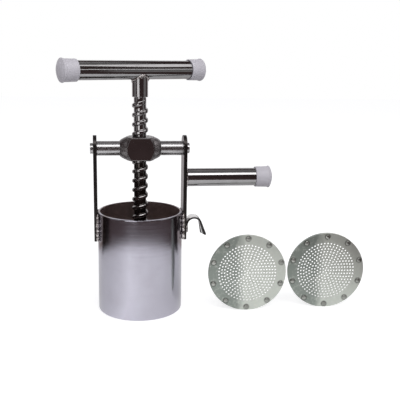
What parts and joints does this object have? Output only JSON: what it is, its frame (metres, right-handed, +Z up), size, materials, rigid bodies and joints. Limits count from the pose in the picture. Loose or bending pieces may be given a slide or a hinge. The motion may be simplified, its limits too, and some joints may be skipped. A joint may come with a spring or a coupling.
{
  "type": "sev press",
  "caption": "Hand-cranked noodle press: a steel barrel with uprights and a threaded crossbar, a coarse T-handled screw that drives a ram onto a perforated die, and loose dies beside it.",
  "frame": {"origin": "on the barrel's axis at the level of its foot, in the middle of the outlet", "axes": "+Z up along the screw, +X along the side handle, -Y towards the side that the picture shows"},
  "size_m": [0.4302, 0.1207, 0.3513],
  "materials": {
    "barrel_steel": "satin polished",
    "bar_steel": "polished flat bar",
    "bright_steel": "mirror polished",
    "ram_steel": "turned",
    "die_steel": "satin",
    "rivet_steel": "dull",
    "weld_steel": "rippled weld",
    "cap_plastic": "soft sheen"
  },
  "bodies": {
    "press": {"barrel": "barrel_steel", "die_seat_ring": "barrel_steel", "die_plate": "die_steel", "die_ring": "die_steel", "die_rivets": "rivet_steel", "left_upright": "bar_steel", "right_upright": "bar_steel", "left_upright_welds": "weld_steel", "right_upright_welds": "weld_steel", "crossbar": "bright_steel", "side_handle_tube": "bright_steel", "side_handle_weld": "weld_steel", "side_handle_cap": "cap_plastic", "pan_hook": "bar_steel", "pan_hook_welds": "weld_steel"},
    "ram": {"ram_plate": "ram_steel", "ram_hub": "ram_steel", "ram_hub_weld": "weld_steel"},
    "screw": {"screw_spindle": "bright_steel", "ram_washer": "rivet_steel", "ram_bolt": "rivet_steel", "top_handle_tube": "bright_steel", "top_handle_weld": "weld_steel", "top_handle_left_cap": "cap_plastic", "top_handle_right_cap": "cap_plastic"},
    "near_loose_die": {"near_loose_die_plate": "die_steel", "near_loose_die_ring": "die_steel", "near_loose_die_rivets": "rivet_steel"},
    "far_loose_die": {"far_loose_die_plate": "die_steel", "far_loose_die_ring": "die_steel", "far_loose_die_rivets": "rivet_steel"}
  },
  "joints": [
    {"name": "ram_travel", "type": "slide", "parent": "press", "child": "ram", "axis": [0, 0, 1], "range_m": [-0.053, 0.1232]},
    {"name": "screw_turn", "type": "hinge", "parent": "ram", "child": "screw", "pos_m": [0, 0, 0.08], "axis": [0, 0, 1], "range_deg": [-1467, 3411]},
    {"name": "near_loose_die_lift", "type": "slide", "parent": "press", "child": "near_loose_die", "axis": [0, 0, 1], "range_m": [0, 0.1]},
    {"name": "far_loose_die_lift", "type": "slide", "parent": "press", "child": "far_loose_die", "axis": [0, 0, 1], "range_m": [0, 0.1]}
  ],
  "couplings": [
    {"joint": "ram_travel", "follows": "screw_turn", "m_per_rad": 0.002069}
  ]
}
